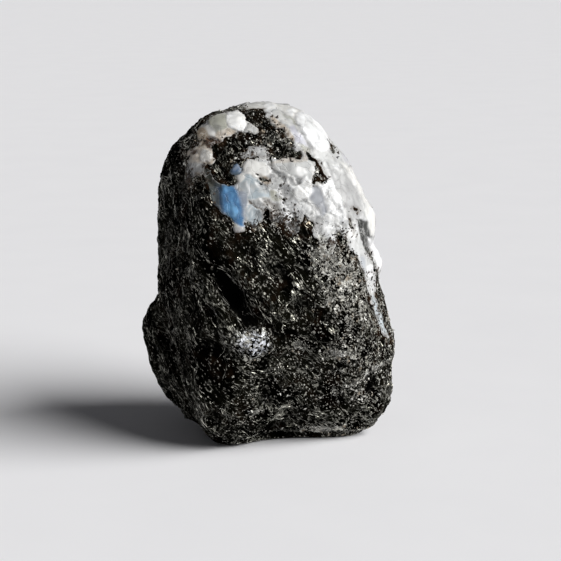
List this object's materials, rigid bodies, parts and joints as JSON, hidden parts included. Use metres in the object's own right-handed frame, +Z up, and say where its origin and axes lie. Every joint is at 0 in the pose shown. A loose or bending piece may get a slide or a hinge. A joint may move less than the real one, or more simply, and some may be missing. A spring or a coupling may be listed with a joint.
{
  "type": "rough moonstone",
  "caption": "Rough, free-standing piece of dark schist capped with white moonstone feldspar that flashes blue, standing on a worn flat foot.",
  "frame": {"origin": "middle of the stone's footprint box, on the surface it stands on", "axes": "+Z up along the stone's height, -Y out of its front with the blue patch, +X to the right seen from the front"},
  "size_m": [0.0338, 0.028, 0.044],
  "materials": {
    "schist": "near-black, fine-grained, worn to a soft gloss with bright mica and feldspar specks",
    "feldspar": "milky translucent white moonstone with cleavage cracks and one patch of blue sheen"
  },
  "bodies": {
    "root": {"rough_moonstone": "schist"}
  },
  "joints": []
}
